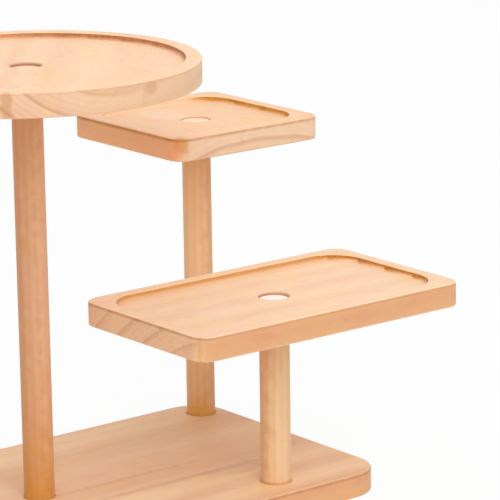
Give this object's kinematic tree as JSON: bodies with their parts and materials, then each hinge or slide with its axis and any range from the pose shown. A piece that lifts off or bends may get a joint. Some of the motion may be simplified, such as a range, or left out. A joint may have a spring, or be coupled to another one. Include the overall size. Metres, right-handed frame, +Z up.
{
  "type": "display riser",
  "caption": "Wooden display riser: a round-cornered base board with round posts of unequal height that carry a round, a square and a rectangular shallow tray.",
  "frame": {"origin": "centre of the base board's underside", "axes": "+X along the base board's length to the right, +Y to the back, +Z up"},
  "size_m": [0.3405, 0.2535, 0.274],
  "materials": {
    "base_wood": "planed and sanded pale hardwood, unvarnished",
    "post_wood": "sanded round dowel, unvarnished",
    "tray_wood": "planed and sanded pale hardwood with a routed recess, unvarnished",
    "screw_steel": "zinc-plated"
  },
  "bodies": {
    "root": {"base_board": "base_wood", "tall_post": "post_wood", "middle_post": "post_wood", "short_post": "post_wood", "round_tray": "tray_wood", "square_tray": "tray_wood", "rectangular_tray": "tray_wood", "base_screws": "screw_steel"}
  },
  "joints": []
}
